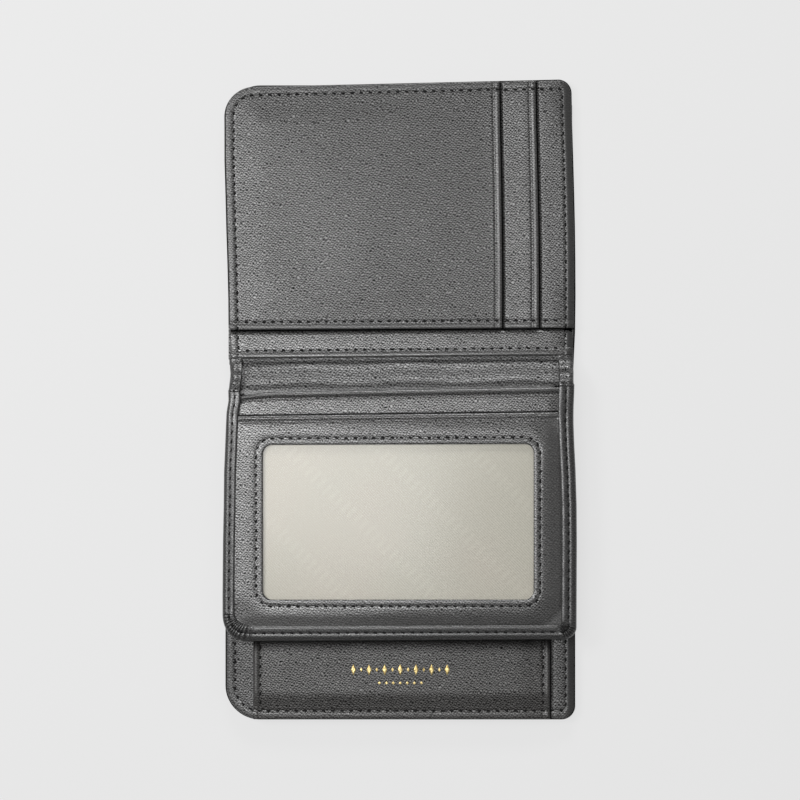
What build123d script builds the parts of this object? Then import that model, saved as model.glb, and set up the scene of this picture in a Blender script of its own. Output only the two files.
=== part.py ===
"""Compact bifold wallet with a centre page, lying open flat, as an assembly of separate leather-goods pieces.

X runs along the fold, +Y from the fold to the edge of the upper half, +Z up from the surface it lies on.
The lower half is the fixed body, the upper half folds over it, and the centre page turns between them.
"""

from build123d import *
import os

# Driving dimensions, in millimetres.
COVER_WIDTH = 100.4  # along the fold
COVER_LENGTH = 183.6  # both halves and the spine, lying flat
COVER_CORNER_LEFT = 10.0
COVER_CORNER_RIGHT = 4.0
FOLD_HEIGHT = 7.4  # the fold axis stands this far above the cover's outer face
SPINE_LENGTH = 21.0  # the soft stretch of cover that bends round the closed wallet

COVER_LEATHER = 1.2
BOARD = 0.5
LINING = 0.2
COMPARTMENT_GAP = 0.4  # the empty bank-note compartment
LOWER_PANEL_LEATHER = 0.8
SLOT_LEATHER = 0.5
SLOT_GAP = 0.05
SEAM_ALLOWANCE = 7.0  # width of the hem turned under the inner panels on their sewn sides
RIM_WIDTH = 1.1  # width of the cover's own turned edge
PANEL_INSET = 0.3  # the inner panels stop this far inside the cover
STITCH_INSET = 2.7
THREAD_WIDTH = 0.5
THREAD_HEIGHT = 0.1

FOLD_EDGE = 12.7  # free edge of the upper half's backing panel, over the page's root
SLOT_EDGE = 20.7  # lower edge of the upper half's card slots
SLOT_MOUTHS = {"front": 29.0, "middle": 39.5, "back": COVER_WIDTH / 2 - PANEL_INSET}
FOLD_STITCH_Y = 14.8
SLOT_STITCH_Y = 23.0

POCKET_LEFT, POCKET_RIGHT = -42.0, 42.8
POCKET_TOP = -20.0
POCKET_HEM = 2.6
POCKET_LEATHER = 0.8
POCKET_STITCH_INSET = 1.95
FOIL_THICKNESS = 0.05
FOIL_ROW_Y = -76.6
FOIL_ROW_WIDTH = 29.0
FOIL_DOT_Y = -80.4

PAGE_HINGE_Y = 4.2
PAGE_HINGE_Z = FOLD_HEIGHT
PAGE_HALF_WIDTH = 49.5
PAGE_BOTTOM = -67.9
PAGE_TOP = PAGE_HINGE_Y - 0.2
PAGE_LOW, PAGE_HIGH = 5.2, 9.6
PAGE_CORNER_LEFT = 6.3
PAGE_CORNER_RIGHT = 3.7
BINDING_WIDTH = 4.3
BINDING_LEATHER = 0.6
BINDING_STITCH_INSET = 2.4
PAGE_ROOT_TOP = 22.0  # the page's root is sewn under the upper half's backing panel up to here
PAGE_ROOT_START = 12.0
PAGE_SLOT_EDGE = 3.3
PAGE_WINDOW_PANEL_EDGE = -3.6
WINDOW_WIDTH, WINDOW_HEIGHT = 76.8, 44.0
WINDOW_X, WINDOW_Y = -0.6, -34.2
WINDOW_CORNER = 2.6
WINDOW_STITCH_OFFSET = 1.9

HALF_WIDTH = COVER_WIDTH / 2
HALF_LENGTH = COVER_LENGTH / 2
SPINE_EDGE = SPINE_LENGTH / 2
BOARD_Z = COVER_LEATHER
COVER_LINING_Z = BOARD_Z + BOARD
RIM_TOP = COVER_LINING_Z + LINING
DIVIDER_Z = RIM_TOP + COMPARTMENT_GAP
PANEL_Z = DIVIDER_Z + LINING


def sheet(left, right, bottom, top, z, thickness, radii=(0, 0, 0, 0)):
    """A flat sheet with its corners rounded, in the order bottom left, bottom right, top right, top left."""
    face = Pos((left + right) / 2, (bottom + top) / 2) * Rectangle(right - left, top - bottom)
    corners = [(left, bottom), (right, bottom), (right, top), (left, top)]
    for (x, y), radius in zip(corners, radii):
        if radius > 0:
            face = fillet(face.vertices().sort_by_distance((x, y, 0))[0], radius)
    return Pos(0, 0, z) * extrude(face, thickness)


def half_sheet(side, fold_y, inset, z, thickness, left_inset=None, right_inset=None):
    """A sheet of the lower (side -1) or upper (side +1) half, from fold_y to the cover's edge less the inset."""
    left_in = inset if left_inset is None else left_inset
    right_in = inset if right_inset is None else right_inset
    edge = side * (HALF_LENGTH - inset)
    left_radius = max(COVER_CORNER_LEFT - inset, 0)
    right_radius = max(COVER_CORNER_RIGHT - inset, 0)
    lower_corners = (left_radius, right_radius, 0, 0)
    upper_corners = (0, 0, right_radius, left_radius)
    return sheet(
        -HALF_WIDTH + left_in,
        HALF_WIDTH - right_in,
        min(fold_y, edge),
        max(fold_y, edge),
        z,
        thickness,
        lower_corners if side < 0 else upper_corners,
    )


def thread_run(side, fold_y, z):
    """The perimeter seam of one half: a flat run of thread up both sides and along the outer edge."""
    outer = half_sheet(side, fold_y, STITCH_INSET - THREAD_WIDTH / 2, z, THREAD_HEIGHT)
    inner = half_sheet(side, fold_y - side, STITCH_INSET + THREAD_WIDTH / 2, z - 1, THREAD_HEIGHT + 2)
    return outer - inner


def straight_thread(x0, x1, y0, y1, z):
    """A straight run of thread between two points of one row or one column."""
    half = THREAD_WIDTH / 2
    return sheet(min(x0, x1) - half, max(x0, x1) + half, min(y0, y1) - half, max(y0, y1) + half, z, THREAD_HEIGHT)


def cover_half(side):
    """Outer leather of one half, with its edge turned up round the stiffening board on three sides."""
    base = half_sheet(side, side * SPINE_EDGE, 0, 0, COVER_LEATHER)
    rim = half_sheet(side, side * SPINE_EDGE, 0, COVER_LEATHER, RIM_TOP - COVER_LEATHER)
    well = half_sheet(side, side * (SPINE_EDGE - 1), RIM_WIDTH, COVER_LEATHER - 1, RIM_TOP + 2)
    return base + (rim - well)


def board_half(side):
    """Stiffening board glued inside the cover."""
    return half_sheet(side, side * (SPINE_EDGE + 0.5), RIM_WIDTH + 0.1, BOARD_Z, BOARD)


def cover_lining_half(side):
    """Lining cloth of the bank-note compartment, on the cover's side."""
    return half_sheet(side, side * SPINE_EDGE, RIM_WIDTH + 0.1, COVER_LINING_Z, LINING)


def divider_half(side, fold_y):
    """Lining cloth behind the inner panels, which stops at the turned hem and runs out to the open right side."""
    return half_sheet(side, fold_y, SEAM_ALLOWANCE, DIVIDER_Z, LINING, right_inset=1.0)


def turned_hem(side, fold_y):
    """The inner panel's edge turned under, which closes the compartment at the left side and the outer edge."""
    outer = half_sheet(side, fold_y, PANEL_INSET, RIM_TOP, PANEL_Z - RIM_TOP)
    inner = half_sheet(
        side,
        fold_y - side,
        SEAM_ALLOWANCE - 0.2,
        RIM_TOP - 1,
        PANEL_Z + 2,
        right_inset=-5,
    )
    return outer - inner


def spine_sheet(z, thickness, inset):
    """A sheet of the soft spine, the full width less the inset."""
    return sheet(-HALF_WIDTH + inset, HALF_WIDTH - inset, -SPINE_EDGE, SPINE_EDGE, z, thickness)


def lower_pieces():
    """The fixed lower half: cover, lining, inner panel and the patch pocket with its foil ornament."""
    panel_top = PANEL_Z + LOWER_PANEL_LEATHER
    front_z = panel_top + 0.6
    front_top = front_z + POCKET_LEATHER
    pocket_bottom = -(HALF_LENGTH - PANEL_INSET)
    seam_y = -(HALF_LENGTH - STITCH_INSET)
    left_seam = POCKET_LEFT + POCKET_STITCH_INSET
    right_seam = POCKET_RIGHT - POCKET_STITCH_INSET
    side_hems = [
        sheet(POCKET_LEFT, POCKET_LEFT + POCKET_HEM, pocket_bottom + POCKET_HEM, POCKET_TOP, panel_top, 0.6),
        sheet(POCKET_RIGHT - POCKET_HEM, POCKET_RIGHT, pocket_bottom + POCKET_HEM, POCKET_TOP, panel_top, 0.6),
        sheet(POCKET_LEFT, POCKET_RIGHT, pocket_bottom, pocket_bottom + POCKET_HEM, panel_top, 0.6),
    ]
    perimeter = thread_run(-1, -SPINE_EDGE - 1, panel_top) - sheet(
        POCKET_LEFT - 0.1, POCKET_RIGHT + 0.1, -HALF_LENGTH, -HALF_LENGTH / 2, 0, 9
    )
    pocket_perimeter = straight_thread(POCKET_LEFT + 1, POCKET_RIGHT - 1, seam_y, seam_y, front_top)
    return {
        "lower_cover": cover_half(-1),
        "lower_board": board_half(-1),
        "lower_cover_lining": cover_lining_half(-1),
        "lower_turned_hem": turned_hem(-1, -SPINE_EDGE),
        "lower_divider_lining": divider_half(-1, -SPINE_EDGE),
        "lower_inner_panel": half_sheet(-1, -SPINE_EDGE, PANEL_INSET, PANEL_Z, LOWER_PANEL_LEATHER),
        "pocket_hems": side_hems,
        "pocket_lining": sheet(
            POCKET_LEFT + POCKET_HEM + 0.2,
            POCKET_RIGHT - POCKET_HEM - 0.2,
            pocket_bottom + POCKET_HEM + 0.2,
            POCKET_TOP - 1,
            panel_top,
            LINING,
        ),
        "pocket_front": sheet(POCKET_LEFT, POCKET_RIGHT, pocket_bottom, POCKET_TOP, front_z, POCKET_LEATHER),
        "pocket_thread": [
            straight_thread(left_seam, left_seam, seam_y + 1.5, POCKET_TOP - 1.5, front_top),
            straight_thread(right_seam, right_seam, seam_y + 1.5, POCKET_TOP - 1.5, front_top),
        ],
        "foil_ornament": foil_ornament(front_top),
        "lower_perimeter_thread": perimeter.solids() + [pocket_perimeter],
    }


def lozenge(x, y, half_width, half_height, z):
    """A thin four-sided leaf of foil."""
    corners = [(x - half_width, y), (x, y - half_height), (x + half_width, y), (x, y + half_height)]
    return Pos(0, 0, z) * extrude(make_face(Polyline(*corners, close=True)), FOIL_THICKNESS)


def foil_ornament(z):
    """A plain foil ornament: a row of large and small lozenges over a shorter row of specks."""
    count = 13
    pitch = FOIL_ROW_WIDTH / count
    row = []
    for index in range(count):
        x = (index - (count - 1) / 2) * pitch
        large = index % 2 == 0
        row.append(lozenge(x, FOIL_ROW_Y, 0.75 if large else 0.42, 1.7 if large else 0.7, z))
    specks = [lozenge((index - 3) * 2.0, FOIL_DOT_Y, 0.5, 0.5, z) for index in range(7)]
    return row + specks


def spine_pieces():
    """The soft pieces that bend round the spine, and the page's own soft root."""
    root_leather = 0.6
    rise = [(PAGE_ROOT_START, 1.95), (10.6, 2.2), (8.4, 3.2), (PAGE_HINGE_Y + 0.2, 6.6)]
    over = [(y, z + root_leather) for y, z in reversed(rise)]
    profile = Plane.YZ * make_face(Polyline(*rise, *over, close=True))
    width = 2 * (PAGE_HALF_WIDTH - 0.3)
    root = Pos(-width / 2, 0, 0) * extrude(profile, width)
    return {
        "cover_spine": spine_sheet(0, COVER_LEATHER, 0),
        "spine_cover_lining": spine_sheet(COVER_LEATHER, LINING, RIM_WIDTH),
        "spine_inner_lining": spine_sheet(RIM_TOP - 0.1, LINING, 1.0),
        "page_hinge_strip": root,
    }


def upper_pieces():
    """The folding upper half: cover, lining, backing panel, the page's sewn root and three card slots."""
    backing_top = PANEL_Z + SLOT_LEATHER
    pieces = {
        "upper_cover": cover_half(1),
        "upper_board": board_half(1),
        "upper_cover_lining": cover_lining_half(1),
        "upper_turned_hem": turned_hem(1, PAGE_ROOT_TOP + 0.2),
        "page_root": sheet(
            -PAGE_HALF_WIDTH + 0.3,
            PAGE_HALF_WIDTH - 0.3,
            PAGE_ROOT_START,
            PAGE_ROOT_TOP,
            RIM_TOP + 0.05,
            PANEL_Z - RIM_TOP - 0.05,
        ),
        "upper_divider_lining": divider_half(1, PAGE_ROOT_TOP + 0.2),
        "upper_backing_panel": half_sheet(1, FOLD_EDGE, PANEL_INSET, PANEL_Z, SLOT_LEATHER),
    }
    z = backing_top
    for name in ("back", "middle", "front"):
        z += SLOT_GAP
        panel = half_sheet(1, SLOT_EDGE, PANEL_INSET, z, SLOT_LEATHER)
        beyond_mouth = sheet(SLOT_MOUTHS[name], HALF_WIDTH + 5, 0, HALF_LENGTH + 5, z - 1, SLOT_LEATHER + 2)
        pieces["card_slot_panel_" + name] = panel - beyond_mouth
        z += SLOT_LEATHER
    levels = {"back": backing_top + SLOT_GAP + SLOT_LEATHER}
    levels["middle"] = levels["back"] + SLOT_GAP + SLOT_LEATHER
    levels["front"] = levels["middle"] + SLOT_GAP + SLOT_LEATHER
    left_end = -HALF_WIDTH + STITCH_INSET + 1
    mouths = [left_end, SLOT_MOUTHS["front"], SLOT_MOUTHS["middle"], HALF_WIDTH - STITCH_INSET - 1]
    slot_seam = [
        straight_thread(start + 0.4, end - 0.4, SLOT_STITCH_Y, SLOT_STITCH_Y, levels[name])
        for start, end, name in zip(mouths, mouths[1:], ("front", "middle", "back"))
    ]
    pieces["card_slot_thread"] = slot_seam
    pieces["fold_edge_thread"] = straight_thread(
        left_end, mouths[-1], FOLD_STITCH_Y, FOLD_STITCH_Y, backing_top
    )
    pieces["upper_perimeter_thread"] = upper_perimeter(levels, backing_top)
    return pieces


def upper_perimeter(levels, backing_top):
    """The upper half's perimeter seam, which steps down from the front slot panel to the backing panel."""
    run_low = thread_run(1, FOLD_EDGE + 1, 0)
    bands = [
        ("front", -HALF_WIDTH, SLOT_MOUTHS["front"]),
        ("middle", SLOT_MOUTHS["front"], SLOT_MOUTHS["middle"]),
        ("back", SLOT_MOUTHS["middle"], HALF_WIDTH),
    ]
    runs = []
    for name, left, right in bands:
        band = sheet(left + 0.1, right - 0.1, SLOT_EDGE + 0.2, HALF_LENGTH, -1, 3)
        runs += (Pos(0, 0, levels[name]) * (run_low & band)).solids()
    below_slots = sheet(-HALF_WIDTH, HALF_WIDTH, 0, SLOT_EDGE - 0.2, -1, 3)
    runs += (Pos(0, 0, backing_top) * (run_low & below_slots)).solids()
    return runs


def page_sheet(inset, z, thickness, top=PAGE_TOP):
    """A sheet of the centre page, inset from its sides and bottom."""
    return sheet(
        -PAGE_HALF_WIDTH + inset,
        PAGE_HALF_WIDTH - inset,
        PAGE_BOTTOM + inset,
        top,
        z,
        thickness,
        (max(PAGE_CORNER_LEFT - inset, 0), max(PAGE_CORNER_RIGHT - inset, 0), 0, 0),
    )


def window_opening(offset, z, thickness):
    """The window's rounded outline, grown by the offset, as a solid."""
    half_width = WINDOW_WIDTH / 2 + offset
    half_height = WINDOW_HEIGHT / 2 + offset
    radius = WINDOW_CORNER + offset
    return sheet(
        WINDOW_X - half_width,
        WINDOW_X + half_width,
        WINDOW_Y - half_height,
        WINDOW_Y + half_height,
        z,
        thickness,
        (radius,) * 4,
    )


def page_pieces():
    """The turning centre page: two panels with a card slot between, a window panel, and a bound edge."""
    backing_z = PAGE_LOW + 0.9
    slot_z = backing_z + 0.8
    lining_z = slot_z + 0.8
    film_z = PAGE_HIGH - 1.3
    window_panel_z = film_z + LINING
    window_panel_leather = 0.8
    channel = page_sheet(0, PAGE_LOW, PAGE_HIGH - PAGE_LOW)
    channel -= page_sheet(0.9, PAGE_LOW + BINDING_LEATHER, PAGE_HIGH - PAGE_LOW - 2 * BINDING_LEATHER, PAGE_TOP + 1)
    channel -= page_sheet(BINDING_WIDTH, PAGE_LOW - 1, PAGE_HIGH + 2, PAGE_TOP + 1)
    binding_thread = page_sheet(BINDING_STITCH_INSET - THREAD_WIDTH / 2, PAGE_HIGH, THREAD_HEIGHT, PAGE_TOP - 0.5)
    binding_thread -= page_sheet(BINDING_STITCH_INSET + THREAD_WIDTH / 2, PAGE_HIGH - 1, 3)
    window_top = window_panel_z + window_panel_leather
    window_seam = window_opening(WINDOW_STITCH_OFFSET + THREAD_WIDTH / 2, window_top, THREAD_HEIGHT)
    window_seam -= window_opening(WINDOW_STITCH_OFFSET - THREAD_WIDTH / 2, window_top - 1, 3)
    window_panel = page_sheet(
        BINDING_WIDTH + 0.1, window_panel_z, window_panel_leather, PAGE_WINDOW_PANEL_EDGE
    ) - window_opening(0, window_panel_z - 1, window_panel_leather + 2)
    return {
        "page_back_panel": page_sheet(BINDING_WIDTH + 0.1, PAGE_LOW, 0.8),
        "page_backing_panel": page_sheet(1.0, backing_z, 0.7),
        "page_slot_panel": page_sheet(1.0, slot_z, 0.7, PAGE_SLOT_EDGE),
        "window_lining": page_sheet(BINDING_WIDTH + 0.1, lining_z, LINING, PAGE_WINDOW_PANEL_EDGE - 0.5),
        "window_film": window_opening(3.5, film_z, LINING),
        "window_panel": window_panel,
        "page_binding": channel,
        "page_binding_thread": binding_thread,
        "window_thread": window_seam,
    }


def save(name, shape):
    """Writes one piece, or one group of separate solids, as a STEP file."""
    solids = shape if isinstance(shape, list) else shape.solids()
    whole = solids[0] if len(solids) == 1 else Compound(children=list(solids))
    export_step(whole, os.path.join("parts", name + ".step"))


os.makedirs("parts", exist_ok=True)
for group in (lower_pieces(), spine_pieces(), upper_pieces(), page_pieces()):
    for piece_name, piece in group.items():
        save(piece_name, piece)
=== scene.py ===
import math

import bpy
import numpy as np
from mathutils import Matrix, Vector


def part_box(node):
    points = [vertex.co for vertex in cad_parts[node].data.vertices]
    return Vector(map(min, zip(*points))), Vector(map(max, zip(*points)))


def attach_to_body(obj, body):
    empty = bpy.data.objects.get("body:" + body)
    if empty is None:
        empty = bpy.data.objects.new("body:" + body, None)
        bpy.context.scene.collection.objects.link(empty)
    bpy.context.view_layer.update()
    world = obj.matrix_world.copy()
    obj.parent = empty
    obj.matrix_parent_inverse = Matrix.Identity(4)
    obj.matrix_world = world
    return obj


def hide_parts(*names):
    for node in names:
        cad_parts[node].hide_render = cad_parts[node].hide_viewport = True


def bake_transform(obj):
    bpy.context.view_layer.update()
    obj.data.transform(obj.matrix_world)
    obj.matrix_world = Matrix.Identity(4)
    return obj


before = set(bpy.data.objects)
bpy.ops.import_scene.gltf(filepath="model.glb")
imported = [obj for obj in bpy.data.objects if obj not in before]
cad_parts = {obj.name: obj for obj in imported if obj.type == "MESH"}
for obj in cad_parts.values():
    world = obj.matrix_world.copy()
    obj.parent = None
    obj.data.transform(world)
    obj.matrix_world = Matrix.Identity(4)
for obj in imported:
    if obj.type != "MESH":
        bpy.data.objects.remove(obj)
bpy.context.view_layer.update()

# Lengths are in millimetres, in the frame's own axes, until make_mesh turns them into metres.
MM = 0.001


def cad_box(node):
    """Lowest and highest corner of a CAD node, in millimetres."""
    low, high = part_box(node)
    return np.array(low) / MM, np.array(high) / MM


# The layout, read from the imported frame.
UPPER_LOW, UPPER_HIGH = cad_box("upper_cover")
HALF_WIDTH, HALF_LENGTH = UPPER_HIGH[0], UPPER_HIGH[1]
SPINE_EDGE = UPPER_LOW[1]
FOLD_EDGE = cad_box("upper_backing_panel")[0][1]
SLOT_EDGE = cad_box("card_slot_panel_front")[0][1]
FRONT_MOUTH = cad_box("card_slot_panel_front")[1][0]
MIDDLE_MOUTH = cad_box("card_slot_panel_middle")[1][0]
POCKET_LOW, POCKET_HIGH = cad_box("pocket_front")
PAGE_LOW, PAGE_HIGH = cad_box("page_binding")
WINDOW_PANEL_TOP = cad_box("window_panel")[1][1]
PAGE_SLOT_TOP = cad_box("page_slot_panel")[1][1]

PANEL_INSET = 0.5
CORNER_LEFT, CORNER_RIGHT, CORNER_TOP = 10.0, 4.0, 8.6  # CORNER_TOP is the upper half's left one
PAGE_CORNER_LEFT, PAGE_CORNER_RIGHT = 7.4, 3.7
BINDING_WIDTH = 4.3
SEAM_INSET = 2.4  # perimeter seams, from the edge of the inner panels
ROW_SEAM = 2.2  # straight seams, from the free edge that they follow
MOUTH_CREASE = 1.85  # the crease beside a card slot's mouth, from its free edge
OPEN_END = 200  # an outline that runs this far has no edge there
STITCH_PITCH = 2.62

# The leather lies a little askew. Lines across the wallet tilt by these slopes, at stations along Y.
TILT_Y = (-92, -72, -68, -60, -12, -3.6, 3.3, 12.7, 20.7, 92)
TILT = (0.0, 0.0, 0.006, 0.0, 0.004, 0.012, 0.018, 0.010, 0.006, 0.0235)
# The cover and the upper half narrow towards the fold and lean to the left towards their end.
COVER_Y = (-92, -60, -20, 0, 8, 12, 20, 30, 40, 50, 60, 70, 80, 92)
COVER_SCALE = (1, 1, 0.992, 0.985, 0.98, 0.984, 0.991, 0.993, 0.995, 0.997, 0.997, 0.997, 0.994, 0.993)
COVER_LEAN = (0, 0, 0, 0.25, 0.45, 0.42, 0.43, 0.45, 0.3, 0.08, -0.16, -0.44, -0.6, -0.75)
END_TUCK = 0.5  # both ends of the wallet curl in by this much
# Where the page's sides really lie: they spread towards its free edge.
SIDE_Y = (-68, -55, -40, -30, -20, -13, -6, -2.4, 1, 4.5, 8, 12)
SIDE_LEFT = (-50.5, -50.53, -50.4, -50.2, -50.1, -49.8, -49.55, -49.4, -48.85, -48.95, -48.7, -48.85)
SIDE_RIGHT = (50.05, 50.1, 50.16, 50.1, 49.8, 49.45, 49.18, 49.24, 49.4, 49.5, 49.7, 49.7)


# ---------------------------------------------------------------- shape helpers


def smooth(value, low, high):
    """0 below low, 1 above high, and a smooth step between."""
    t = np.clip((value - low) / (high - low), 0, 1)
    return t * t * (3 - 2 * t)


def ridge(distance, height, width):
    """A rounded ridge, or a groove where height is negative, along distance 0."""
    return height * np.exp(-((distance / width) ** 2))


def waves(x, y, length, height, seed):
    """Gentle irregular undulation, from a few fixed sine waves."""
    rng = np.random.default_rng(seed)
    total = np.zeros_like(x, dtype=float)
    for _ in range(6):
        angle, phase = rng.uniform(0, math.tau, 2)
        size = length * rng.uniform(0.7, 1.6)
        total += np.sin(math.tau * (x * math.cos(angle) + y * math.sin(angle)) / size + phase)
    return total * height / 6


def lie_cover(x, y, z):
    """Lays the cover and what is sewn to it askew."""
    lean = np.interp(y, COVER_Y, COVER_LEAN) * (0.5 + 0.5 * (x / 50) ** 2)
    curl = END_TUCK * (smooth(y, 55, 92) - smooth(-y, 70, 92))
    tilt = np.interp(y, TILT_Y, TILT) * smooth(y, 0, 12)
    return x * np.interp(y, COVER_Y, COVER_SCALE) + lean, y + x * tilt - curl, z


def lie_page(x, y, z):
    """Lays the page and its root askew: the left side of the binding is narrow, and both sides spread."""
    near_left = np.interp(y, SIDE_Y, SIDE_LEFT) + (x - PAGE_LOW[0]) * 0.80
    near_right = np.interp(y, SIDE_Y, SIDE_RIGHT) + (x - PAGE_HIGH[0]) * 1.02
    left_share, right_share = smooth(-x, 41.2, 45.2), smooth(x, 41.2, 45.2)
    new_x = x * (1 - left_share - right_share) + near_left * left_share + near_right * right_share
    return new_x, y + x * np.interp(y, TILT_Y, TILT), z


class Outline:
    """A rectangle with rounded corners, in the order bottom left, bottom right, top right, top left."""

    def __init__(self, left, right, bottom, top, radii=(0, 0, 0, 0)):
        self.left, self.right, self.bottom, self.top = left, right, bottom, top
        self.corners = [
            (left + radii[0], bottom + radii[0], -1, -1, radii[0]),
            (right - radii[1], bottom + radii[1], 1, -1, radii[1]),
            (right - radii[2], top - radii[2], 1, 1, radii[2]),
            (left + radii[3], top - radii[3], -1, 1, radii[3]),
        ]

    def inset(self, x, y):
        """Distance inside the edge."""
        d = np.minimum(np.minimum(x - self.left, self.right - x), np.minimum(y - self.bottom, self.top - y))
        for cx, cy, sx, sy, radius in self.corners:
            if radius > 0:
                here = ((x - cx) * sx > 0) & ((y - cy) * sy > 0)
                d = np.where(here, radius - np.hypot(x - cx, y - cy), d)
        return np.maximum(d, 0)

    def rounded(self, x, y):
        """Moves points of the plain rectangle into the rounded outline."""
        new_x, new_y = x.copy(), y.copy()
        for cx, cy, sx, sy, radius in self.corners:
            if radius <= 0:
                continue
            a = (x - cx) * sx / radius
            b = (y - cy) * sy / radius
            here = (a > 0) & (b > 0)
            new_x = np.where(here, cx + sx * radius * a * np.sqrt(np.clip(1 - b * b / 2, 0, 1)), new_x)
            new_y = np.where(here, cy + sy * radius * b * np.sqrt(np.clip(1 - a * a / 2, 0, 1)), new_y)
        return new_x, new_y

    def loop(self, inset, across, along, corner, ease=(1, 1, 1, 1)):
        """A closed loop inside the edge, from the left side's top, down and round through the bottom."""
        points = []
        left, right = self.left + inset, self.right - inset
        bottom, top = self.bottom + inset, self.top - inset
        radii = [max(c[4] - inset * share, 0.2) for c, share in zip(self.corners, ease)]
        centres = np.array([
            (left + radii[0], bottom + radii[0]),
            (right - radii[1], bottom + radii[1]),
            (right - radii[2], top - radii[2]),
            (left + radii[3], top - radii[3]),
        ])
        starts = (math.pi, 1.5 * math.pi, 0, 0.5 * math.pi)
        counts = (across, along, across, along)
        for k in range(4):
            angles = starts[k] + np.linspace(0, math.pi / 2, corner)
            arc = centres[k] + radii[k] * np.stack([np.cos(angles), np.sin(angles)], 1)
            points.append(arc)
            following = (k + 1) % 4
            turn = starts[following]
            end = centres[following] + radii[following] * np.array([math.cos(turn), math.sin(turn)])
            steps = np.linspace(0, 1, counts[k] + 2)[1:-1, None]
            points.append(arc[-1] + (end - arc[-1]) * steps)
        return np.concatenate(points)


EDGE_STEPS = (0, 0.03, 0.08, 0.15, 0.24, 0.35, 0.5, 0.7, 1.0)
SEAM_STEPS = (-1.2, -0.8, -0.5, -0.3, -0.12, 0.12, 0.3, 0.5, 0.8, 1.2)
LEAST_STEP = 0.028
ROLLED = 0.5  # how much of the grain is stretched away on a rolled edge


def graded(low, high, step, seams=()):
    """Grid positions from low to high, close together at both ends and beside each seam."""
    marks = list(np.linspace(low, high, max(2, round((high - low) / step) + 1)))
    marks += [low + s for s in EDGE_STEPS] + [high - s for s in EDGE_STEPS]
    marks += [seam + s for seam in seams for s in SEAM_STEPS]
    marks = np.unique(np.clip(marks, low, high))
    kept = [low]
    for mark in marks:
        if mark - kept[-1] > LEAST_STEP and high - mark > LEAST_STEP:
            kept.append(mark)
    return np.array(kept + [high])


def grid_faces(index):
    """Quads over a two-dimensional array of vertex numbers."""
    return np.stack([index[:-1, :-1], index[:-1, 1:], index[1:, 1:], index[1:, :-1]], -1).reshape(-1, 4)


# ---------------------------------------------------------------- mesh and piece helpers


def make_mesh(name, points, faces, material, **marks):
    """A smooth mesh object from points in millimetres, with marks per point that its leather reads."""
    mesh = bpy.data.meshes.new(name)
    mesh.from_pydata((np.asarray(points) * MM).tolist(), [], [list(map(int, f)) for f in faces])
    mesh.materials.append(material)
    mesh.shade_smooth()
    mesh.update()
    for mark, values in marks.items():
        attribute = mesh.attributes.new(mark, "FLOAT", "POINT")
        attribute.data.foreach_set("value", np.asarray(values, dtype=np.float32))
    piece = bpy.data.objects.new(name, mesh)
    bpy.context.scene.collection.objects.link(piece)
    return piece


def attach(piece, body, slot, *nodes):
    """Rides a piece on its body and hides the CAD nodes that it stands for."""
    if body:
        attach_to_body(piece, body)
    if nodes:
        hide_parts(*nodes)
    return piece


def sheet(
    name, outline, top, bottom, material,
    warp=lie_cover, step=0.7, seams_x=(), seams_y=(), edge=None, dark=None,
):
    """A closed leather or cloth sheet with a rounded edge, between two height functions of x and y."""
    grid_x, grid_y = np.meshgrid(
        graded(outline.left, outline.right, step, seams_x), graded(outline.bottom, outline.top, step, seams_y)
    )
    x, y = outline.rounded(grid_x, grid_y)
    inside = outline.inset(x, y)
    high, low = top(x, y), bottom(x, y)
    middle, half = (high + low) / 2, (high - low) / 2
    share = np.clip(inside / (half if edge is None else edge), 0, 1)
    bulge = np.sqrt(np.clip(1 - (1 - share) ** 2, 0, 1))
    rows, columns = x.shape
    on_edge = np.zeros((rows, columns), bool)
    on_edge[0] = on_edge[-1] = on_edge[:, 0] = on_edge[:, -1] = True
    bulge = np.where(on_edge, 0, bulge)
    upper = np.stack([*warp(x, y, middle + half * bulge)], -1).reshape(-1, 3)
    lower = np.stack([*warp(x, y, middle - half * bulge)], -1).reshape(-1, 3)
    top_index = np.arange(rows * columns).reshape(rows, columns)
    bottom_index = top_index.copy()
    bottom_index[~on_edge] = rows * columns + np.arange((~on_edge).sum())
    points = np.concatenate([upper, lower[(~on_edge).reshape(-1)]])
    faces = np.concatenate([grid_faces(top_index), grid_faces(bottom_index)[:, ::-1]])
    twice = np.concatenate([np.arange(rows * columns), np.flatnonzero(~on_edge)])
    outer_x = smooth(np.abs(x), HALF_WIDTH - 6, HALF_WIDTH - 4)
    outer_y = smooth(np.abs(y), HALF_LENGTH - 6, HALF_LENGTH - 4)
    rolled = ROLLED * (1 - smooth(inside, 0.9, 1.9)) * (1 - 0.5 * np.maximum(outer_x, outer_y))
    rolled = np.maximum(rolled, 0.8 * smooth(x, HALF_WIDTH - 3, HALF_WIDTH - 2))
    marks = {"rolled": rolled.reshape(-1)[twice]}
    if dark is not None:
        # Painted shade: a band along the right side is darkened, on top of the shade that dark gives.
        pressed = 0.35 * smooth(x, HALF_WIDTH - 3, HALF_WIDTH - 1.6)
        marks["dark"] = np.maximum(dark(x, y), pressed).reshape(-1)[twice]
    return make_mesh(name, points, faces, material, **marks)


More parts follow.
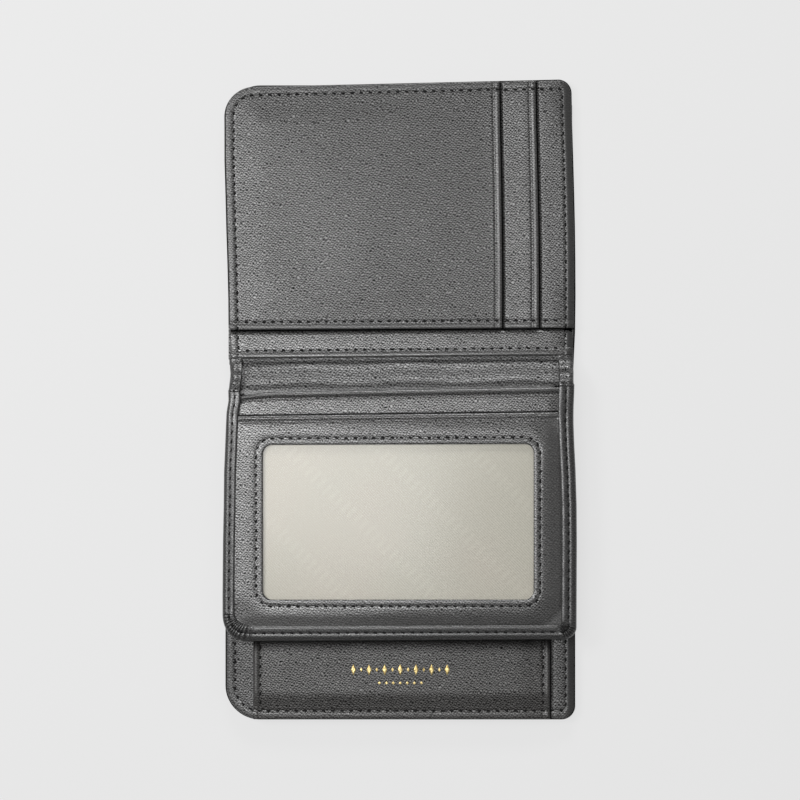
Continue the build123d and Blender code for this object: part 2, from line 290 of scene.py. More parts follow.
def loft(name, loops, rolled, material, warp=lie_cover, closed_loops=True, dark=None):
    """A skin round a stack of equally long loops of x, y and z. The ends of open loops are capped."""
    points = np.stack(loops)
    count, length = points.shape[:2]
    x, y, z = warp(points[..., 0], points[..., 1], points[..., 2])
    flat = np.stack([x, y, z], -1).reshape(-1, 3)
    index = np.arange(count * length).reshape(count, length)
    if closed_loops:
        index = np.concatenate([index, index[:, :1]], 1)
    index = np.concatenate([index, index[:1]], 0)
    faces = [list(f) for f in grid_faces(index)]
    if not closed_loops:
        faces.append(list(index[:-1, 0]))
        faces.append(list(index[:-1, -1][::-1]))
    marks = {"rolled": np.concatenate([np.broadcast_to(r, length) for r in rolled])}
    if dark is not None:
        marks["dark"] = np.concatenate(dark)
    return make_mesh(name, flat, faces, material, **marks)


def along(path, spacing):
    """Points evenly spaced along a path, with their directions."""
    path = np.asarray(path, float)
    lengths = np.concatenate([[0], np.cumsum(np.hypot(*np.diff(path, axis=0).T))])
    count = max(1, round(lengths[-1] / spacing))
    at = (np.arange(count) + 0.5) * lengths[-1] / count
    points = np.stack([np.interp(at, lengths, path[:, k]) for k in (0, 1)], 1)
    ahead = np.stack([np.interp(at + 0.2, lengths, path[:, k]) for k in (0, 1)], 1)
    behind = np.stack([np.interp(at - 0.2, lengths, path[:, k]) for k in (0, 1)], 1)
    direction = ahead - behind
    return points, direction / np.linalg.norm(direction, axis=1)[:, None]


STITCH_HALF = 0.68
STITCH_RADIUS = 0.26
STITCH_SLANT = -0.2  # each stitch lies a little aslant of its row
STITCH_RINGS, STITCH_SIDES = 9, 8


def stitches(name, paths, surface, material, warp=lie_cover, side=1):
    """A row of thread stitches along each path, each arched out of the leather and dipping in at its ends."""
    rng = np.random.default_rng(len(name))
    points, faces = [], []
    t = np.linspace(-1, 1, STITCH_RINGS)
    radius = STITCH_RADIUS * np.sqrt(np.clip(1 - np.abs(t) ** 5, 0.02, 1))
    arch = 0.10 - 0.42 * np.abs(t) ** 3
    turn = np.linspace(0, math.tau, STITCH_SIDES, endpoint=False)
    for path in paths:
        centres, directions = along(path, STITCH_PITCH)
        for (cx, cy), (dx, dy) in zip(centres, directions):
            lean = STITCH_SLANT + rng.uniform(-0.06, 0.06)
            dx, dy = dx - dy * lean, dy + dx * lean
            run = t * STITCH_HALF * rng.uniform(0.94, 1.04)
            px, py = cx + dx * run, cy + dy * run
            level = surface(px, py) + side * arch
            x = px[:, None] - dy * radius[:, None] * np.cos(turn)
            y = py[:, None] + dx * radius[:, None] * np.cos(turn)
            z = level[:, None] + 0.75 * radius[:, None] * np.sin(turn)
            base = len(points) * STITCH_RINGS * STITCH_SIDES
            points.append(np.stack([*warp(x, y, z)], -1).reshape(-1, 3))
            index = base + np.arange(STITCH_RINGS * STITCH_SIDES).reshape(STITCH_RINGS, STITCH_SIDES)
            ring = np.concatenate([index, index[:, :1]], 1)
            faces += grid_faces(ring)[:, ::-1].tolist()
            faces += [index[0].tolist(), index[-1][::-1].tolist()]
    return make_mesh(name, np.concatenate(points), faces, material)


def perimeter(side, inset, fold_y):
    """The seam's path round three sides of a half, side -1 for the lower one."""
    edge = Outline(
        -HALF_WIDTH + inset,
        HALF_WIDTH - inset,
        -HALF_LENGTH + inset,
        HALF_LENGTH - inset,
        (CORNER_LEFT - inset, CORNER_RIGHT - inset, CORNER_RIGHT - inset, CORNER_TOP - inset),
    )
    loop = edge.loop(0, 90, 160, 16)
    half = loop[loop[:, 1] * side > fold_y]
    gaps = np.hypot(*np.diff(half, axis=0).T)
    return np.roll(half, -(gaps.argmax() + 1), axis=0) if gaps.max() > HALF_WIDTH else half


# ---------------------------------------------------------------- materials


class Shader:
    """Builds one procedural material, in millimetre texture coordinates."""

    def __init__(self, name):
        self.material = bpy.data.materials.new(name)
        self.material.use_nodes = True
        self.tree = self.material.node_tree
        self.tree.nodes.clear()
        self.output = self.tree.nodes.new("ShaderNodeOutputMaterial")
        at = self.tree.nodes.new("ShaderNodeTexCoord").outputs["Object"]
        self.place = self.add("ShaderNodeVectorMath", operation="SCALE", Vector=at, Scale=1 / MM)

    def add(self, kind, operation=None, **values):
        """Adds a node, sets or links its inputs by name or number, and returns its first output."""
        node = self.tree.nodes.new(kind)
        if operation:
            node.operation = operation
        for key, value in values.items():
            socket = node.inputs[int(key[1:])] if key[0] == "_" else node.inputs[key.replace("_", " ")]
            self.put(socket, value)
        return node.outputs[0]

    def split(self, vector):
        """The x and the y of a vector."""
        node = self.tree.nodes.new("ShaderNodeSeparateXYZ")
        self.put(node.inputs[0], vector)
        return node.outputs[0], node.outputs[1]

    def put(self, socket, value):
        if isinstance(value, bpy.types.NodeSocket):
            self.tree.links.new(value, socket)
        else:
            socket.default_value = value

    def math(self, operation, a, b=0.0, c=0.0):
        return self.add("ShaderNodeMath", operation=operation, _0=a, _1=b, _2=c)

    def span(self, value, low, high, to_low=0.0, to_high=1.0):
        """Maps a value between two limits, smoothly."""
        node = self.tree.nodes.new("ShaderNodeMapRange")
        node.interpolation_type = "SMOOTHSTEP"
        numbers = {"Value": value, "From Min": low, "From Max": high, "To Min": to_low, "To Max": to_high}
        for key, number in numbers.items():
            self.put(node.inputs[key], number)
        return node.outputs[0]

    def noise(self, scale, detail=2.0):
        node = self.tree.nodes.new("ShaderNodeTexNoise")
        self.put(node.inputs["Vector"], self.place)
        node.inputs["Scale"].default_value = scale
        node.inputs["Detail"].default_value = detail
        return node.outputs

    def cells(self, scale, vector):
        """Distance to the nearest edge in a pattern of irregular cells."""
        node = self.tree.nodes.new("ShaderNodeTexVoronoi")
        node.voronoi_dimensions = "2D"
        node.feature = "DISTANCE_TO_EDGE"
        self.put(node.inputs["Vector"], vector)
        node.inputs["Scale"].default_value = scale
        return node.outputs["Distance"]

    def mark(self, name):
        """A mark from the mesh, 0 where it has none."""
        node = self.tree.nodes.new("ShaderNodeAttribute")
        node.attribute_name = name
        return node.outputs["Fac"]

    def mix(self, share, a, b):
        node = self.tree.nodes.new("ShaderNodeMix")
        node.data_type = "RGBA"
        self.put(node.inputs["Factor"], share)
        self.put(node.inputs["A"], a)
        self.put(node.inputs["B"], b)
        return node.outputs["Result"]

    def warped(self, amount, scale):
        """The coordinates, pushed about by noise."""
        push = self.noise(scale)["Color"]
        push = self.add("ShaderNodeVectorMath", operation="SUBTRACT", _0=push, _1=(0.5, 0.5, 0.5))
        push = self.add("ShaderNodeVectorMath", operation="SCALE", Vector=push, Scale=amount)
        return self.add("ShaderNodeVectorMath", operation="ADD", _0=self.place, _1=push)

    def bump(self, height, distance):
        node = self.tree.nodes.new("ShaderNodeBump")
        node.inputs["Distance"].default_value = distance * MM
        self.put(node.inputs["Height"], height)
        return node.outputs["Normal"]

    def principled(self, **values):
        node = self.tree.nodes.new("ShaderNodeBsdfPrincipled")
        for key, value in values.items():
            self.put(node.inputs[key.replace("_", " ")], value)
        self.tree.links.new(node.outputs[0], self.output.inputs[0])
        return self.material


def grey(level, warm=0.0):
    return (level * (1 + warm), level, level * (1 - warm), 1)


# The leather's grain is three crossing waves, in cycles per millimetre along x and y of a turned grid.
GRAIN_WAVES = ((1.58, 0.12), (-0.25, 1.36), (1.05, -1.12))
GRAIN_DEPTH = 0.03

def leather(name, dark, light, size=1.0, rough=0.40, warm=0.012, edge=0.42, shine=0.85):
    """Fine leather: small domes in wavering rows, smoother on rolled edges. The grain pattern is the leather's
    own; the creases between the domes are painted dark and dull as their shade.
    """
    s = Shader(name)
    x, y = s.split(s.add("ShaderNodeVectorRotate", Vector=s.warped(1.7, 0.6), Angle=0.80))
    relief = 0.5
    for across, up in GRAIN_WAVES:
        lines = s.math("ADD", s.math("MULTIPLY", x, across), s.math("MULTIPLY", y, up))
        wave = s.math("SINE", s.math("MULTIPLY", lines, math.tau / size))
        relief = s.math("MULTIPLY_ADD", wave, 0.13, relief)
    rolled, crease = s.mark("rolled"), s.mark("dark")
    grain = s.math("SUBTRACT", 1.0, rolled)
    # Painted shade: the grain's creases take a darker colour and less shine than its domes.
    share = s.math("MULTIPLY", s.math("POWER", s.span(relief, 0.0, 1.05), 1.45), grain)
    share = s.math("ADD", share, s.math("MULTIPLY", rolled, edge))
    # The dark mark is painted shade: it darkens the colour and takes most of the shine away.
    share = s.math("MULTIPLY", share, s.math("SUBTRACT", 1.0, crease))
    open_share = s.math("MULTIPLY_ADD", crease, -0.8, 1.0)
    patches = s.span(s.noise(0.06, 3.0)["Fac"], 0.3, 0.7, rough + 0.03, rough - 0.03)
    return s.principled(
        Base_Color=s.mix(share, grey(dark, warm), grey(light, warm)),
        Roughness=s.math("MULTIPLY_ADD", rolled, -0.08, patches),
        Normal=s.bump(s.math("MULTIPLY", relief, grain), GRAIN_DEPTH),
        IOR=1.5,
        Specular_IOR_Level=s.math("MULTIPLY", s.math("MULTIPLY_ADD", share, 1.9 * shine, 0.02), open_share),
    )


def lining_cloth(name, dark, light, pitch):
    """Tightly woven cloth with a diagonal twill line."""
    s = Shader(name)
    x, y = s.split(s.place)
    diagonal = s.math("SINE", s.math("MULTIPLY", s.math("ADD", x, y), math.tau / pitch))
    across = s.math("SUBTRACT", y, s.math("MULTIPLY", x, 0.3))
    threads = s.math("SINE", s.math("MULTIPLY", across, math.tau / (0.6 * pitch)))
    relief = s.math("ADD", s.math("MULTIPLY", diagonal, 0.6), s.math("MULTIPLY", threads, 0.4))
    fuzz = s.noise(2.4, 3.0)["Fac"]
    mixed = s.math("ADD", relief, s.math("MULTIPLY", s.math("SUBTRACT", fuzz, 0.5), 1.6))
    colour = s.mix(s.span(mixed, -1.0, 1.0), grey(dark), grey(light))
    return s.principled(Base_Color=colour, Roughness=0.75, Normal=s.bump(mixed, 0.03), Sheen_Weight=0.15)


def window_cloth():
    """Cream semi-gloss cloth: a fine twill, pinkish patches, and faint short dashes in diagonal bands."""
    s = Shader("window_cloth")
    x, y = s.split(s.place)
    diagonal = s.math("SINE", s.math("MULTIPLY", s.math("ADD", x, y), math.tau / 0.85))
    cross = s.math("SINE", s.math("MULTIPLY", s.math("SUBTRACT", x, y), math.tau / 0.6))
    fuzz = s.noise(1.9, 3.0)["Fac"]
    weave = s.math("ADD", s.math("MULTIPLY", diagonal, 0.55), s.math("MULTIPLY", cross, 0.2))
    weave = s.math("ADD", weave, s.math("MULTIPLY", s.math("SUBTRACT", fuzz, 0.5), 2.2))
    band = s.span(s.math("SINE", s.math("MULTIPLY", s.math("ADD", x, y), math.tau / 26)), 0.72, 0.9)
    dash = s.span(s.math("SINE", s.math("MULTIPLY", s.math("SUBTRACT", x, y), math.tau / 3.4)), -0.1, 0.4)
    figure = s.math("MULTIPLY", band, dash)
    tint = s.span(s.noise(0.035, 2.0)["Fac"], 0.35, 0.65)
    base = s.mix(tint, (0.355, 0.331, 0.293, 1), (0.34, 0.331, 0.29, 1))
    weave = s.math("MULTIPLY", weave, s.span(s.math("SUBTRACT", x, y), -30.0, 110.0, 0.7, 2.4))
    base = s.mix(s.span(weave, -1.9, 1.9, 0.0, 0.8), base, (0.47, 0.445, 0.40, 1))
    base = s.mix(s.math("MULTIPLY", figure, 0.10), base, (0.56, 0.54, 0.49, 1))
    return s.principled(Base_Color=base, Roughness=0.5, Normal=s.bump(weave, 0.012), Specular_IOR_Level=0.4)


def clear_film():
    """Clear plastic film: see-through, with a soft shine."""
    s = Shader("window_film")
    clear = s.add("ShaderNodeBsdfTransparent", Color=(0.97, 0.97, 0.96, 1))
    shine = s.add("ShaderNodeBsdfGlossy", Color=(1, 1, 1, 1), Roughness=0.16)
    facing = s.tree.nodes.new("ShaderNodeLayerWeight")
    facing.inputs["Blend"].default_value = 0.3
    share = s.span(facing.outputs["Facing"], 0.0, 1.0, 0.01, 0.4)
    mixed = s.add("ShaderNodeMixShader", _0=share, _1=clear, _2=shine)
    s.tree.links.new(mixed, s.output.inputs[0])
    return s.material


def thread():
    """Waxed dark thread with a fine twist."""
    s = Shader("thread")
    twist = s.noise(5.0, 1.0)["Fac"]
    colour = s.mix(s.span(twist, 0.35, 0.65), grey(0.002), grey(0.009))
    return s.principled(Base_Color=colour, Roughness=0.7, Normal=s.bump(twist, 0.04), Specular_IOR_Level=0.12)


def gold_foil():
    """Hot-stamped gold foil that follows the leather's grain."""
    s = Shader("foil")
    relief = s.span(s.cells(1.3, s.warped(0.9, 0.55)), 0.0, 0.34)
    wear = s.noise(1.6, 3.0)["Fac"]
    colour = s.mix(s.span(wear, 0.3, 0.7), (0.46, 0.34, 0.13, 1), (0.80, 0.64, 0.30, 1))
    return s.principled(Base_Color=colour, Metallic=0.85, Roughness=0.42, Normal=s.bump(relief, 0.03))


def cardboard():
    """Grey stiffening board with short fibres."""
    s = Shader("board")
    fibres = s.noise(2.5, 4.0)["Fac"]
    colour = s.mix(fibres, grey(0.10, 0.06), grey(0.22, 0.06))
    return s.principled(Base_Color=colour, Roughness=0.9, Normal=s.bump(fibres, 0.03))


def floor_finish():
    """Plain pale floor, a lit table, so that shadows on it stay faint."""
    s = Shader("floor")
    tone = s.noise(0.02, 2.0)["Fac"]
    colour = s.mix(tone, grey(0.085), grey(0.09))
    return s.principled(
        Base_Color=colour, Roughness=0.9, Specular_IOR_Level=0.1,
        Emission_Color=(1, 1, 1, 1), Emission_Strength=0.68,
    )


# PAGE_FACE is a lighter, shinier copy of the panel leather, painted light on the page's faces and the backing
# strip; ROOT is a darker copy, painted shade on the page's backing and root, where they face the light.
PANEL = leather("panel_leather", 0.001, 0.118, shine=0.68)
PAGE_FACE = leather("page_leather", 0.001, 0.145, rough=0.33, edge=0.32, shine=0.94)
ROOT = leather("root_leather", 0.001, 0.080, size=1.1, shine=0.65)
POCKET = leather("pocket_leather", 0.001, 0.080, warm=0.04, shine=0.8)
BINDING = leather("binding_leather", 0.003, 0.062, rough=0.38)
COVER = leather("cover_leather", 0.003, 0.045, rough=0.48, edge=0.25, shine=0.5)
LINING = lining_cloth("lining_cloth", 0.012, 0.035, 0.7)
THREAD = thread()


# ---------------------------------------------------------------- the cover and the soft spine

COVER_TOP, COVER_WELL, RIM = 1.9, 1.2, 1.1
COVER_SEAM = SEAM_INSET + PANEL_INSET  # from the cover's edge
COVER_OUTLINE = Outline(
    -HALF_WIDTH, HALF_WIDTH, -HALF_LENGTH, HALF_LENGTH, (CORNER_LEFT, CORNER_RIGHT, CORNER_RIGHT, CORNER_TOP)
)


def cover_inside(x, y):
    """The cover's inner side: a turned rim round a well."""
    inside = COVER_OUTLINE.inset(x, y)
    return COVER_TOP + (COVER_WELL - COVER_TOP) * smooth(inside, RIM, RIM + 0.35)


def cover_outside(x, y):
    """The cover's outer face, with the groove of its seam."""
    inside = COVER_OUTLINE.inset(x, y)
    seam = np.where(np.abs(y) > SPINE_EDGE, ridge(inside - COVER_SEAM, 0.16, 0.45), 0)
    return 0.02 + seam + 0.02 * (1 + waves(x, y, 40, 1, 3))


def bend(piece):
    """Bakes the placement of a piece that lies with the spine, between the two halves, into its mesh."""
    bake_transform(piece)


def make_cover():
    piece = sheet(
        "cover", COVER_OUTLINE, cover_inside, cover_outside, COVER, lie_cover, 0.8,
        (COVER_SEAM - HALF_WIDTH, HALF_WIDTH - COVER_SEAM), (COVER_SEAM - HALF_LENGTH, HALF_LENGTH - COVER_SEAM),
        # Painted shade: the cover's outermost rim, where it turns down, is darkened.
        0.9, lambda x, y: 0.95 * (1 - smooth(COVER_OUTLINE.inset(x, y), 0.3, 0.9)),
    )
    bend(piece)
    attach(piece, None, "cover_leather", "lower_cover", "cover_spine", "upper_cover")

def make_outer_stitches():
    """The two perimeter seams, as they come out on the cover's outer face."""
    for side, body in ((-1, "lower"), (1, "upper")):
        path = perimeter(side, COVER_SEAM, SPINE_EDGE + 2)
        row = stitches(body + "_outer_stitches", [path], lambda x, y: cover_outside(x, y) + 0.14, THREAD, side=-1)
        attach(row, body, "thread")

def make_spine_linings():
    for node, level in (("spine_cover_lining", COVER_WELL), ("spine_inner_lining", COVER_TOP - 0.1)):
        low, high = cad_box(node)
        strip = sheet(
            node + "_cloth", Outline(low[0], high[0], low[1], high[1]),
            lambda x, y, z=level: z + 0.2 + waves(x, y, 14, 0.04, 5),
            lambda x, y, z=level: z + waves(x, y, 14, 0.04, 5),
            LINING, lie_cover, 1.2,
        )
        bend(strip)
        attach(strip, None, "lining_cloth", node)

# ---------------------------------------------------------------- the lower half

LOWER_RADII = (CORNER_LEFT - PANEL_INSET, CORNER_RIGHT - PANEL_INSET, 0, 0)
LOWER = Outline(
    PANEL_INSET - HALF_WIDTH, HALF_WIDTH - PANEL_INSET, PANEL_INSET - HALF_LENGTH, -SPINE_EDGE, LOWER_RADII
)
LOWER_EDGE = Outline(LOWER.left, LOWER.right, LOWER.bottom, OPEN_END, LOWER_RADII)
LOWER_TOP, PANEL_BOTTOM, HEM_BOTTOM = 3.2, 2.5, 1.93
HEM_WIDTH = 6.5
POCKET_TOP = 4.7
POCKET_SEAMS = (POCKET_LOW[0] + 2.0, POCKET_HIGH[0] - 2.0)


def seam_relief(inside, depth=0.12):
    """A seam's groove, the band between it and the edge, and the leather's rise inside it."""
    band = np.where(inside < SEAM_INSET, 0.10 * np.sin(math.pi * np.clip(inside / SEAM_INSET, 0, 1)), 0)
    return band + ridge(inside - SEAM_INSET, -depth, 0.42)

def right_fall(x, y):
    """The open right side is pressed thin outside its seam, and curls down at the upper half's corners."""
    corner = np.maximum(smooth(y, 70, 88), smooth(y, 8, 20) * (1 - smooth(y, 26, 40)))
    pressed = 0.5 * smooth(x, HALF_WIDTH - 3.2, HALF_WIDTH)
    return pressed + 0.35 * corner * smooth(x, HALF_WIDTH - 7, HALF_WIDTH - 1)

def beside(edge, width=0.7):
    """Painted shade in the crease along an edge that lies over this sheet, given the distance from the edge."""
    return 1 - smooth(edge, 0.1, width)


def lower_top(x, y):
    """The lower panel's face, pressed down under the pocket's right edge and raised along its left side."""
    right = POCKET_HIGH[0]
    pressed = smooth(x, right - 7, right - 2) * (1 - smooth(x - right, 0.1, 1.4))
    raised = smooth(x, -48.5, -41.5) * (1 - smooth(x, -41, -36))
    level = LOWER_TOP + 0.45 * (raised - pressed) + waves(x, y, 30, 0.06, 11)
    return level + seam_relief(LOWER_EDGE.inset(x, y)) - right_fall(x, y)

def hem_bottom(edge):
    """The underside of a panel whose hem is turned under everywhere but at the open right side."""
    def height(x, y):
        turned = (edge.inset(x, y) < HEM_WIDTH) & (x < edge.right - HEM_WIDTH)
        return np.where(turned, HEM_BOTTOM, PANEL_BOTTOM)
    return height

def pocket_top(x, y):
    """The pocket's face: side seams, swollen turned edges, and a bottom held down by the perimeter seam."""
    inside = LOWER_EDGE.inset(x, y)
    left, right = x - POCKET_LOW[0], POCKET_HIGH[0] - x
    side = np.minimum(left, right)
    level = POCKET_TOP - 0.25 + 0.25 * smooth(side, 2, 9) + waves(x, y, 26, 0.07, 17)
    level += ridge(side - 2.0, -0.16, 0.4) + ridge(side - 0.8, 0.16, 0.6)
    pressed = 0.5 * np.clip((y - PAGE_LOW[1] + 3.8) / 4.2, 0, 1) ** 2 * smooth(side, 1, 5)
    return level - pressed - 0.75 * (1 - smooth(inside, 2.2, 8)) + seam_relief(inside, depth=0.18)


def pocket_shade(x, y):
    """The page's shadow, painted as a dark band on the pocket, deepest just under the page's edge."""
    under_page = y - PAGE_LOW[1]
    return 0.82 * smooth(under_page, -4.6, -0.4) * (1 - 0.95 * smooth(under_page, 1, 13))


LOWER_SEAM_Y = LOWER.bottom + SEAM_INSET

def make_lower_panel():
    panel = sheet(
        "lower_panel", LOWER, lower_top, hem_bottom(LOWER_EDGE), PANEL, lie_cover, 0.8,
        (LOWER.left + SEAM_INSET, LOWER.right - SEAM_INSET, POCKET_LOW[0], POCKET_HIGH[0]), (LOWER_SEAM_Y,), 0.5,
        lambda x, y: beside(np.maximum(x - POCKET_HIGH[0], y - POCKET_HIGH[1])) * (x > POCKET_LOW[0]),
    )
    attach(panel, "lower", "panel_leather", "lower_inner_panel", "lower_turned_hem")

def make_pocket():
    face = Outline(POCKET_LOW[0], POCKET_HIGH[0], POCKET_LOW[1] + 0.15, POCKET_HIGH[1])
    pocket = sheet(
        "pocket_face", face, pocket_top,
        lambda x, y: np.where(face.inset(x, y) < 2.4, lower_top(x, y) + 0.03, pocket_top(x, y) - 0.5),
        POCKET, lie_cover, 0.7, POCKET_SEAMS, (LOWER_SEAM_Y,), 0.55, pocket_shade,
    )
    attach(pocket, "lower", "panel_leather", "pocket_front", "pocket_hems")
    rows = [[(x, LOWER_SEAM_Y + 1.2), (x, POCKET_HIGH[1] - 1.5)] for x in POCKET_SEAMS]
    attach(stitches("pocket_stitches", rows, pocket_top, THREAD), "lower", "thread", "pocket_thread")

def make_lower_seam():
    def level(x, y):
        on_pocket = (x > POCKET_LOW[0]) & (x < POCKET_HIGH[0]) & (y < -HALF_LENGTH / 2)
        return np.where(on_pocket, pocket_top(x, y), lower_top(x, y))

    path = perimeter(-1, COVER_SEAM, SPINE_EDGE + 2)
    row = stitches("lower_perimeter_stitches", [path], level, THREAD)
    attach(row, "lower", "thread", "lower_perimeter_thread")

def foil_leaf(x, y, half_width, half_height):
    """One small four-sided leaf of foil, slightly domed, laid on the pocket's face."""
    cuts = 5
    u, v = np.meshgrid(np.linspace(-1, 1, cuts), np.linspace(-1, 1, cuts))
    px, py = x + half_width * (u + v) / 2, y + half_height * (v - u) / 2
    lift = 0.008 * (1 - np.maximum(np.abs(u), np.abs(v)) ** 4)
    points = np.stack([px, py, pocket_top(px, py) + 0.012 + lift], -1).reshape(-1, 3)
    under = points - [0, 0, 0.03]
    index = np.arange(cuts * cuts).reshape(cuts, cuts)
    faces = [list(f) for f in grid_faces(index)] + [list(f[::-1]) for f in grid_faces(index + cuts * cuts)]
    rim = np.concatenate([index[0, :-1], index[:-1, -1], index[-1, :0:-1], index[:0:-1, 0]])
    for a, b in zip(rim, np.roll(rim, -1)):
        faces.append([a, a + cuts * cuts, b + cuts * cuts, b])
    return np.concatenate([points, under]), faces


def make_foil():
    """A plain row of lozenges over a short row of specks, where the CAD node has them."""
    low, high = cad_box("foil_ornament")
    row_y, dot_y = high[1] - 1.7, low[1] + 0.5
    pitch = (high[0] - low[0] - 1.5) / 12
    leaves = [
        ((k - 6) * pitch, row_y, 0.75 if k % 2 == 0 else 0.42, 1.7 if k % 2 == 0 else 0.7) for k in range(13)
    ]
    leaves += [((k - 3) * 2.0, dot_y, 0.5, 0.5) for k in range(7)]
    points, faces = [], []
    for leaf in leaves:
        new_points, new_faces = foil_leaf(*leaf)
        start = sum(len(p) for p in points)
        points.append(new_points)
        faces += [[start + i for i in f] for f in new_faces]
    foil = make_mesh("foil_lozenges", np.concatenate(points), faces, gold_foil())
    attach(foil, "lower", "foil", "foil_ornament")


# ---------------------------------------------------------------- the upper half

UPPER_RADII = (0, 0, CORNER_RIGHT - PANEL_INSET, CORNER_TOP - PANEL_INSET)
UPPER_EDGE = Outline(
    PANEL_INSET - HALF_WIDTH, HALF_WIDTH - PANEL_INSET, -OPEN_END, HALF_LENGTH - PANEL_INSET, UPPER_RADII
)
SLOT_SEAM_Y, FOLD_SEAM_Y = SLOT_EDGE + ROW_SEAM, FOLD_EDGE + ROW_SEAM
SLOT_LEVELS = {"back": 3.65, "middle": 4.3, "front": 4.95}
SLOT_MOUTHS = {"back": HALF_WIDTH - PANEL_INSET, "middle": MIDDLE_MOUTH, "front": FRONT_MOUTH}
SLOT_COVERED = {"back": MIDDLE_MOUTH, "middle": FRONT_MOUTH, "front": -OPEN_END}  # covered left of this x
SLOT_LEATHER = 0.58
UPPER_SIDES = (UPPER_EDGE.left + SEAM_INSET, UPPER_EDGE.right - SEAM_INSET)
UPPER_SEAM_Y = UPPER_EDGE.top - SEAM_INSET


def backing_top(x, y):
    """The backing panel: visible as a strip beside the fold, whose edge is sewn down over the page's root."""
    level = 3.12 + waves(x, y, 24, 0.05, 23) + seam_relief(UPPER_EDGE.inset(x, y)) - right_fall(x, y)
    from_edge = y - FOLD_EDGE
    level = level - 0.6 * (1 - smooth(SLOT_EDGE - y, 0, 1.3)) + 0.15 * (1 - smooth(from_edge, 0, 3))
    level += 0.45 * (1 - np.clip(from_edge / 8, 0, 1))
    return level + ridge(from_edge - ROW_SEAM, -0.12, 0.4) + ridge(from_edge - 1.0, 0.14, 0.8)


def hollow(x):
    """How far the slot panels sink where nothing fills them, before they rise again towards the right."""
    return 0.45 * smooth(x, -22, 27) * (1 - smooth(x, 28, 46))

def slot_top(name):
    """A slot panel's face: held down at the sewn sides, with a creased and swollen edge at its mouth."""
    level = SLOT_LEVELS[name]

    def height(x, y):
        inside = UPPER_EDGE.inset(x, y)
        from_row = y - SLOT_EDGE
        z = level + waves(x, y, 34, 0.10, 29) - 0.5 * (1 - smooth(inside, 2.0, 12)) * (level - 3.0) / 2
        z -= hollow(x) * smooth(UPPER_EDGE.top - y, 2, 12)
        z += seam_relief(inside) - right_fall(x, y)
        z += ridge(from_row - ROW_SEAM, -0.14, 0.4) + ridge(from_row - 1.0, 0.18, 0.8)
        z += 0.2 * (1 - smooth(from_row, 0, 2.2)) + 0.22 * (1 - smooth(from_row, 2.6, 12))
        if name != "back":
            from_mouth = SLOT_MOUTHS[name] - x
            z += ridge(from_mouth - MOUTH_CREASE, -0.22, 0.32) + ridge(from_mouth - 0.75, 0.25, 0.55)
            z += 0.12 * (1 - smooth(from_mouth, 0, 5))
        beyond = x - SLOT_COVERED[name]
        return z - 0.55 * (1 - smooth(beyond, 0.1, 1.3)) - 0.5 * (1 - np.clip(beyond / 7, 0, 1))

    return height

def make_backing_panel():
    outline = Outline(UPPER_EDGE.left, UPPER_EDGE.right, FOLD_EDGE, UPPER_EDGE.top, UPPER_RADII)
    piece = sheet(
        "backing_panel", outline, backing_top, hem_bottom(UPPER_EDGE), PAGE_FACE, lie_cover, 0.8,
        UPPER_SIDES, (FOLD_SEAM_Y, UPPER_SEAM_Y, SLOT_EDGE), 0.45, lambda x, y: beside(SLOT_EDGE - y, 1.0),
    )
    attach(piece, "upper", "panel_leather", "upper_backing_panel", "upper_turned_hem")

def make_slot_panel(name):
    mouth, covered, top = SLOT_MOUTHS[name], SLOT_COVERED[name], slot_top(name)
    radii = (0, 0, UPPER_RADII[2] if name == "back" else 0, UPPER_RADII[3])
    crease = UPPER_SIDES[1] if name == "back" else mouth - MOUTH_CREASE
    piece = sheet(
        "slot_panel_" + name, Outline(UPPER_EDGE.left + 0.05, mouth, SLOT_EDGE, UPPER_EDGE.top - 0.05, radii),
        top, lambda x, y: top(x, y) - SLOT_LEATHER, PANEL, lie_cover, 0.65,
        (UPPER_SIDES[0], crease, covered), (SLOT_SEAM_Y, UPPER_SEAM_Y), 0.34,
        lambda x, y: beside(x - covered, 0.85),
    )
    attach(piece, "upper", "panel_leather", "card_slot_panel_" + name)

def slots_level(x, y):
    """The height of whichever slot panel lies uppermost."""
    front, middle, back = (slot_top(name)(x, y) for name in ("front", "middle", "back"))
    return np.where(x < FRONT_MOUTH, front, np.where(x < MIDDLE_MOUTH, middle, back))

def make_upper_seams():
    """The rows along the slots and along the fold edge, and the perimeter seam."""
    left, right = UPPER_SIDES[0] + 1.3, UPPER_SIDES[1] - 1.3
    spans = ((left, FRONT_MOUTH - 0.3), (FRONT_MOUTH + 0.4, MIDDLE_MOUTH - 0.3), (MIDDLE_MOUTH + 0.4, right))
    rows = [[(start, SLOT_SEAM_Y), (end, SLOT_SEAM_Y)] for start, end in spans]
    attach(stitches("slot_row_stitches", rows, slots_level, THREAD), "upper", "thread", "card_slot_thread")
    rows = [[(left, FOLD_SEAM_Y), (right, FOLD_SEAM_Y)]]
    attach(stitches("fold_edge_stitches", rows, backing_top, THREAD), "upper", "thread", "fold_edge_thread")
    row = stitches(
        "upper_perimeter_stitches", [perimeter(1, COVER_SEAM, FOLD_EDGE + 1)],
        lambda x, y: np.where(y > SLOT_EDGE, slots_level(x, y), backing_top(x, y)), THREAD,
    )
    attach(row, "upper", "thread", "upper_perimeter_thread")

# ---------------------------------------------------------------- the page and its soft root

